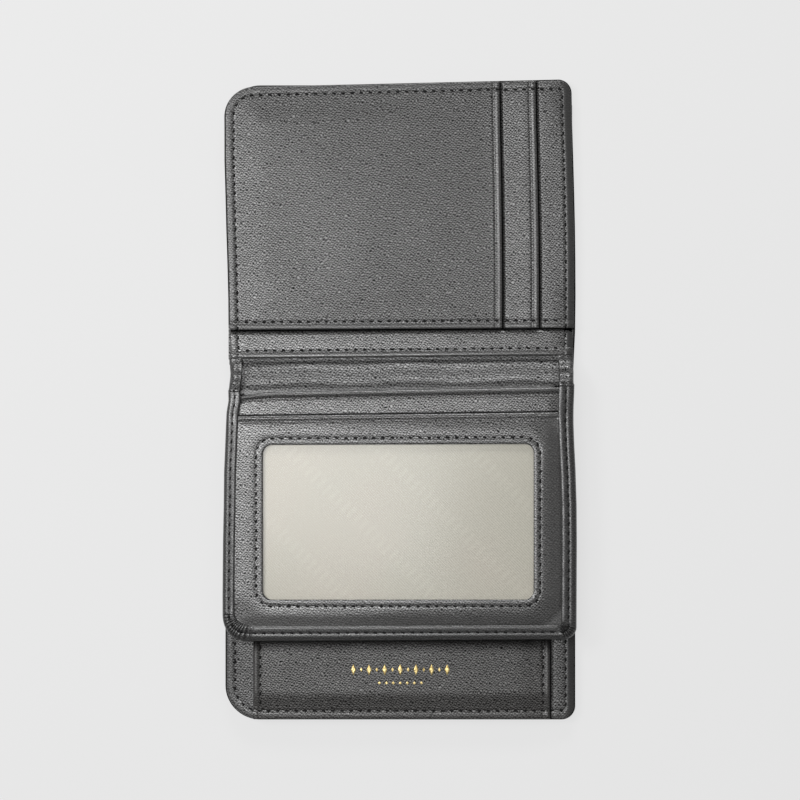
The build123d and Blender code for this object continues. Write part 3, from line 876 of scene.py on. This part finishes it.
PAGE = Outline(PAGE_LOW[0], PAGE_HIGH[0], PAGE_LOW[1], OPEN_END, (PAGE_CORNER_LEFT, PAGE_CORNER_RIGHT, 0, 0))
PAGE_END = PAGE_HIGH[1]
UNDER_BINDING = 1.0  # the panels run this far under the binding
INNER_LEFT, INNER_RIGHT = PAGE.left + BINDING_WIDTH, PAGE.right - BINDING_WIDTH
INNER_BOTTOM = PAGE.bottom + BINDING_WIDTH
WINDOW_LEVEL, SLOT_LEVEL, BACKING_LEVEL = 9.5, 7.55, 6.8
BINDING_SEAM = 2.35
WINDOW_RADIUS = 2.6
WINDOW = Outline(-39.0, 37.8, -56.2, -12.2, (WINDOW_RADIUS,) * 4)
WINDOW_SEAM = 1.9  # outside the window's edge
WINDOW_REACH = 12  # how far round the window it shapes the panel's face
ROUND_WINDOW = Outline(
    WINDOW.left - WINDOW_REACH, WINDOW.right + WINDOW_REACH,
    WINDOW.bottom - WINDOW_REACH, WINDOW.top + WINDOW_REACH, (WINDOW_RADIUS + WINDOW_REACH,) * 4,
)
WINDOW_COUNTS = (120, 70, 14)  # points across, along and round each corner of a loop


def page_outline(top, bottom=None, corner=2.2):
    """A page panel's outline, tucked under the binding."""
    return Outline(
        INNER_LEFT - UNDER_BINDING, INNER_RIGHT + UNDER_BINDING,
        INNER_BOTTOM - UNDER_BINDING if bottom is None else bottom, top, (corner, 0.6, 0, 0),
    )


def tuck(x, y, depth):
    """How far a panel dips where it runs in under the binding."""
    side = np.minimum(np.minimum(x - INNER_LEFT, INNER_RIGHT - x), y - INNER_BOTTOM)
    return depth * (1 - smooth(side, -0.4, 3.2))


def window_top(x, y):
    """The window panel's face, with its seam, its crease along the mouth, and its dip under the binding."""
    from_window = WINDOW_REACH - ROUND_WINDOW.inset(x, y)
    from_mouth = WINDOW_PANEL_TOP - y
    fall = (0.4 + 0.8 * smooth(x, -30, 34)) * (1 - 0.2 * smooth(y, WINDOW.top, WINDOW.top + 3))
    fall = fall + 0.3 * smooth(x, 30, 40) * (1 - smooth(y, -22, -14)) + 0.2 * (1 - smooth(y, -60, -54))
    z = WINDOW_LEVEL + waves(x, y, 30, 0.07, 41) - tuck(x, y, 0.15)
    z -= fall * np.clip((from_window - 1.2) / 7.4, 0, 1)
    z += ridge(from_window - WINDOW_SEAM, -0.11, 0.4) + ridge(from_window - 0.8, 0.05, 0.7)
    z -= 0.3 * (1 - smooth(from_window, 0, 5)) + 0.2 * (1 - smooth(from_mouth, 0, 6))
    return z + ridge(from_mouth - 1.75, -0.2, 0.34) + ridge(from_mouth - 0.8, 0.18, 0.55)

def mouth_droop(x):
    """How far the mouth of the page's card slot comes down towards its left end."""
    return 1.25 * (1 - smooth(x, -49, -36.5))


def lie_slot(x, y, z):
    """Lays the page's slot panel askew, with its drooping mouth."""
    return lie_page(x, y - mouth_droop(x) * smooth(y, WINDOW_PANEL_TOP + 2, PAGE_SLOT_TOP), z)


def page_slot_top(x, y):
    """The page's slot panel: creased and swollen at its mouth, and sunk where the window panel covers it."""
    from_mouth = PAGE_SLOT_TOP - y
    z = SLOT_LEVEL + waves(x, y, 28, 0.08, 43) - tuck(x, y, 0.25) - 0.5 * smooth(from_mouth, 7, 12)
    z += 0.07 * np.clip(from_mouth - 1.5, 0, 6) + 0.25 * (1 - smooth(from_mouth, 0, 2.5))
    lip = ridge(from_mouth - MOUTH_CREASE, -0.3, 0.36) + ridge(from_mouth - 0.8, 0.34, 0.6)
    return z + lip * smooth(x, -49.5, -45)

def cloth_top(x, y):
    """The window cloth lies flat under the film and follows the window panel's underside round it."""
    return np.minimum(8.0 + waves(x, y, 26, 0.05, 53), window_top(x, y) - 0.74)


def plane(level):
    """A surface at one level."""
    return lambda x, y: np.full(np.shape(x), float(level))

def window_loops(top):
    """Loops from the window's edge out to the panel's edge, with their heights."""
    panel = page_outline(WINDOW_PANEL_TOP)
    offsets = (0, 0.03, 0.09, 0.17, 0.28, 0.42, 0.65, 0.95, 1.3, 1.6, 1.9, 2.2, 2.5, 3.0, 3.6)
    insets = (1.0, 0.8, 0.6, 0.42, 0.28, 0.17, 0.08, 0.03, 0)
    near, far = WINDOW.loop(-offsets[-1], *WINDOW_COUNTS), panel.loop(insets[0], *WINDOW_COUNTS)
    plan = [WINDOW.loop(-o, *WINDOW_COUNTS) for o in offsets]
    plan += [near + (far - near) * share for share in np.linspace(0, 1, 15)[1:-1]]
    plan += [panel.loop(i, *WINDOW_COUNTS) for i in insets]
    edge = [min(o, 3) for o in offsets] + [3] * 13 + list(insets)
    half = 0.34
    loops, rolled = [], []
    for points, distance in zip(plan, edge):
        # Painted shade: the panel's right and bottom borders lose their grain and take the flat tone of a rolled
        # edge.
        shaded_border = np.maximum(smooth(points[:, 0], 38.5, 43), 1 - smooth(points[:, 1], -62.5, -58.5))
        rolled.append(np.maximum(0.5 * ROLLED * (1 - smooth(distance, 0.4, 1.6)), 0.55 * shaded_border))
        face = window_top(points[:, 0], points[:, 1]) - half
        rise = half * math.sqrt(1 - (1 - min(distance / half, 1)) ** 2)
        loops.append(np.column_stack([points, face + (rise if top else -rise)]))
    return loops, rolled


def make_window_panel():
    (upper, rolled), (lower, _) = window_loops(True), window_loops(False)
    piece = loft("window_panel_face", upper + lower[-2:0:-1], rolled + rolled[-2:0:-1], PAGE_FACE, lie_page)
    attach(piece, "page", "panel_leather", "window_panel")
    loop = WINDOW.loop(-WINDOW_SEAM, *WINDOW_COUNTS)
    row = stitches("window_stitches", [np.concatenate([loop, loop[:1]])], window_top, THREAD, lie_page)
    attach(row, "page", "thread", "window_thread")


def u_loop(inset, end):
    """An open loop round the page's three bound sides, from the left side's end to the right side's."""
    corner, across = 72, 90
    middle = PAGE.loop(inset, across, 60, corner, (0.8, 0.75, 1, 1))[: 2 * corner + across]
    left, right = middle[0], middle[-1]
    steps = np.linspace(0, 1, 90)[:, None]
    down = np.array([left[0], end]) * (1 - steps) + left * steps
    up = right * (1 - steps) + np.array([right[0], end]) * steps
    return np.concatenate([down[:-1], middle, up[1:]])


# The binding's C-shaped section, as insets from the page's edge and heights.
BINDING_PROFILE = (
    (4.30, 9.02), (4.36, 9.22), (4.28, 9.42), (4.05, 9.56), (3.6, 9.60), (3.1, 9.55), (2.75, 9.47),
    (2.35, 9.36), (1.95, 9.44), (1.5, 9.47), (1.0, 9.36), (0.6, 9.12), (0.3, 8.80), (0.1, 8.35),
    (0.0, 7.8), (-0.03, 7.2), (0.0, 6.6), (0.1, 6.10), (0.3, 5.75), (0.6, 5.48), (1.0, 5.32),
    (1.6, 5.24), (2.0, 5.30), (2.35, 5.40), (2.7, 5.30), (3.4, 5.22), (4.05, 5.24), (4.25, 5.36),
    (4.30, 5.55), (4.2, 5.75), (3.6, 5.82), (1.2, 5.95), (0.75, 6.4), (0.62, 7.4), (0.75, 8.2),
    (1.2, 8.62), (3.6, 8.80), (4.15, 8.86),
)

def corner_pleats(points):
    """Radial pleats where the binding is gathered round its two corners: 1 in the creases, 0 elsewhere."""
    total = np.zeros(len(points))
    for side, edge, centre, folds in ((-1, PAGE.left, 7.4, 11), (1, PAGE.right, 4.8, 9)):
        across = (points[:, 0] - (edge - side * centre)) * side
        down = PAGE.bottom + centre - points[:, 1]
        turn = np.arctan2(down, across)
        here = smooth(turn, -0.15, 0.12) * smooth(math.pi / 2 - turn, -0.15, 0.12)
        here = here * (across > -1.5) * (down > -1.5)
        phase = turn * folds * 4 + 0.5 * np.sin(turn * 7 + side)
        total += here * (0.5 + 0.5 * np.cos(phase)) ** 2
    return total


def binding_fall(y, z):
    """The binding wraps fewer layers towards the fold, so its face comes down there."""
    return z - 0.9 * smooth(y, -7, 3) * np.clip((z - 6.5) / 3, 0, 1)


def binding_top(x, y):
    """Height of the binding's face in its seam, for the stitches."""
    return binding_fall(np.asarray(y, float), 9.31)


def make_binding():
    loops, rolled, dark = [], [], []
    for inset, height in BINDING_PROFILE:
        points = u_loop(inset, PAGE_END)
        z = np.full(len(points), height - 0.08 * (height > 8.9))
        pleats = corner_pleats(points) * smooth(inset, 0.1, 1.0)
        if height > 8.9:
            z += 0.08 * (pleats > 0) - 0.34 * pleats + 0.03 * np.sin(points[:, 1] * 0.9) * (inset > 3)
        elif height < 5.7:
            z += pleats * 0.1
        loops.append(np.column_stack([points, binding_fall(points[:, 1], z)]))
        rolled.append(ROLLED if inset < 1.2 or inset > 3.5 else 0.45)
        # Painted shade in the binding's seam groove and in the creases of its corner pleats.
        groove = 0.55 * (inset == BINDING_SEAM) * (height > 8.9)
        dark.append(np.clip(groove + 0.45 * pleats, 0, 0.7))
    piece = loft("binding", loops, rolled, BINDING, lie_page, closed_loops=False, dark=dark)
    attach(piece, "page", "panel_leather", "page_binding")
    path = u_loop(BINDING_SEAM, PAGE_END - 0.6)
    row = stitches("binding_stitches", [path], binding_top, THREAD, lie_page)
    attach(row, "page", "thread", "page_binding_thread")
    back = stitches("binding_back_stitches", [path], plane(5.36), THREAD, lie_page, -1)
    attach(back, "page", "thread")


def make_page_slot():
    outline = page_outline(PAGE_SLOT_TOP, cad_box("page_slot_panel")[0][1] + 1, 0.6)
    piece = sheet(
        "page_slot_face", outline, page_slot_top, lambda x, y: page_slot_top(x, y) - 0.66, PAGE_FACE, lie_slot,
        0.7, (), (PAGE_SLOT_TOP - 1.8, WINDOW_PANEL_TOP), 0.4, lambda x, y: beside(y - WINDOW_PANEL_TOP),
    )
    attach(piece, "page", "panel_leather", "page_slot_panel")

def make_page_backing():
    piece = sheet(
        "page_backing_face", page_outline(PAGE_END), plane(BACKING_LEVEL), plane(BACKING_LEVEL - 0.7), ROOT,
        lie_page, 0.8, (), (PAGE_SLOT_TOP - 0.6, PAGE_SLOT_TOP), None,
        lambda x, y: beside(y - PAGE_SLOT_TOP + mouth_droop(x), 0.9),
    )
    attach(piece, "page", "panel_leather", "page_backing_panel")

def make_page_back():
    outline = Outline(INNER_LEFT - 0.4, INNER_RIGHT + 0.4, INNER_BOTTOM - 0.4, PAGE_END, (2.2, 0.6, 0, 0))
    piece = sheet(
        "page_back_face", outline, plane(6.05),
        lambda x, y: 5.32 + tuck(x, y, 0.55) + waves(x, y, 30, 0.07, 47), PANEL, lie_page, 0.8, (), (), 0.3,
    )
    attach(piece, "page", "panel_leather", "page_back_panel")

def make_window_cloth():
    low, high = cad_box("window_lining")
    cloth = sheet(
        "window_cloth_sheet", Outline(low[0], high[0], low[1], high[1]),
        cloth_top, lambda x, y: cloth_top(x, y) - 0.16, window_cloth(), lie_page, 1.0,
    )
    attach(cloth, "page", "window_cloth", "window_lining")

def make_window_film():
    low, high = cad_box("window_film")
    film = sheet(
        "window_film_sheet", Outline(low[0], high[0], low[1], high[1], (3, 3, 3, 3)),
        lambda x, y: 8.45 + waves(x, y, 40, 0.05, 59), lambda x, y: 8.3 + waves(x, y, 40, 0.05, 59),
        clear_film(), lie_page, 1.6,
    )
    attach(film, "page", "window_film", "window_film")

ROOT_START, ROOT_END = 2.4, 15.0


def root_height(y):
    """How the page's root falls from the page to the cover."""
    return 6.9 - 4.55 * smooth(y, 3.8, 12.4)


def bend_root(piece):
    """Bakes the placement of a piece that lies beside the page's hinge, between the two halves, into its mesh."""
    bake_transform(piece)

def root_top(x, y):
    """The soft root's upper face, with a little slack across it."""
    side = np.minimum(x - INNER_LEFT, INNER_RIGHT - x)
    slack = 0.16 * np.sin(x * 0.21 + 1.0) * smooth(y, 4, 7) * (1 - smooth(y, 8, 12))
    return root_height(y) + waves(x, y, 16, 0.08, 61) + slack - 0.25 * (1 - smooth(side, -0.4, 2.5))

def make_root_flap():
    outline = Outline(INNER_LEFT - UNDER_BINDING, INNER_RIGHT + UNDER_BINDING, ROOT_START, ROOT_END)
    flap = sheet(
        "page_root_flap", outline, root_top, lambda x, y: root_top(x, y) - 0.5, ROOT, lie_page, 0.6, (), (), 0.25
    )
    bend_root(flap)
    attach(flap, None, "panel_leather", "page_hinge_strip")

def make_root_binding(side, name):
    """One end of the page's binding, which thins out and follows the root down."""
    y = np.linspace(PAGE_END - 0.5, ROOT_END, 34)
    low = np.maximum(root_height(y) - 1.75 + 1.35 * smooth(y, 5, 12.5), 1.92)
    high = root_height(y) + 1.85 - 1.05 * smooth(y, 3.5, 12.5)
    pinch = 0.25 * smooth(y, 3.4, 5.0)
    wrinkle = 0.12 * np.sin(y * 2.6 + side) * smooth(y, 4, 5) * (1 - smooth(y, 9, 12))
    loops, rolled = [], []
    for inset, height in BINDING_PROFILE:
        share = (height - 5.2) / 4.4
        x = side * (PAGE.right - inset - 0.02 - pinch * (1 - inset / BINDING_WIDTH))
        grow = wrinkle + 0.06 if share > 0.5 else -0.06
        loop = np.column_stack([x, y, low + (high - low) * share + grow])
        loops.append(loop if side < 0 else loop[::-1])
        rolled.append(ROLLED if inset < 1.2 or inset > 3.9 else 0)
    piece = loft(name, loops, rolled, BINDING, lie_page, closed_loops=False)
    bend_root(piece)
    attach(piece, None, "panel_leather")
    seam_x = PAGE.right - BINDING_SEAM
    row = stitches(
        name + "_stitches", [[(side * (seam_x - 0.2), 4.0), (side * (seam_x - 0.3), FOLD_EDGE)]],
        lambda x, y: root_height(y) + 1.5 - 0.95 * smooth(y, 3.5, 12.5), THREAD, lie_page,
    )
    bend_root(row)
    attach(row, None, "thread")

# ---------------------------------------------------------------- carried-over CAD nodes


def dress(node, material):
    """Gives a CAD node that stays in view its finish."""
    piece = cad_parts[node]
    piece.data.materials.clear()
    piece.data.materials.append(material)


def dress_cad_nodes():
    board = cardboard()
    for node in ("lower_board", "upper_board"):
        dress(node, board)
    linings = [half + kind for half in ("lower", "upper") for kind in ("_cover_lining", "_divider_lining")]
    for node in (*linings, "pocket_lining"):
        dress(node, LINING)
    dress("page_root", ROOT)


# ---------------------------------------------------------------- floor, light and camera

FLOOR_SIZE = 3000
CAMERA_HEIGHT = 0.66
FRAMED_WIDTH = 0.230
VIEW_CENTRE = (-0.0001, 0.0004)


def make_floor():
    half = FLOOR_SIZE / 2
    corners = [(-half, -half, -0.1), (half, -half, -0.1), (half, half, -0.1), (-half, half, -0.1)]
    floor = make_mesh("floor", np.array(corners), [[0, 1, 2, 3]], floor_finish())


def area_light(name, size, power, place):
    """A soft light, its size and place in metres, aimed at the origin."""
    data = bpy.data.lights.new(name, "AREA")
    data.shape = "RECTANGLE"
    data.size, data.size_y = size
    data.energy = power
    light = bpy.data.objects.new(name, data)
    bpy.context.scene.collection.objects.link(light)
    light.location = place
    light.rotation_mode = "QUATERNION"
    light.rotation_quaternion = Vector(place).to_track_quat("Z", "Y")

def make_light():
    world = bpy.data.worlds.new("studio")
    bpy.context.scene.world = world
    world.use_nodes = True
    background = world.node_tree.nodes["Background"]
    background.inputs["Color"].default_value = (1, 1, 1, 1)
    background.inputs["Strength"].default_value = 0.20
    area_light("softbox", (0.24, 0.44), 3.8, (-0.17, 0.03, 0.80))
    area_light("key", (0.17, 0.17), 1.8, (-0.37, 0.14, 0.45))
    area_light("top", (0.40, 0.15), 4.2, (0.02, 0.72, 0.34))


def make_camera():
    data = bpy.data.cameras.new("camera")
    data.sensor_width = 36
    data.lens = data.sensor_width * CAMERA_HEIGHT / FRAMED_WIDTH
    data.clip_start, data.clip_end = 0.01, 10
    camera = bpy.data.objects.new("camera", data)
    bpy.context.scene.collection.objects.link(camera)
    camera.location = (*VIEW_CENTRE, CAMERA_HEIGHT)
    bpy.context.scene.camera = camera
    bpy.context.scene.view_settings.view_transform = "Standard"


make_camera()
make_cover()
make_outer_stitches()
make_spine_linings()
make_lower_panel()
make_pocket()
make_lower_seam()
make_foil()
make_backing_panel()
for slot in ("back", "middle", "front"):
    make_slot_panel(slot)
make_upper_seams()
make_page_slot()
make_page_backing()
make_page_back()
make_window_cloth()
make_window_film()
make_window_panel()
make_binding()
make_root_flap()
make_root_binding(-1, "root_binding_left")
make_root_binding(1, "root_binding_right")
dress_cad_nodes()
make_floor()
make_light()
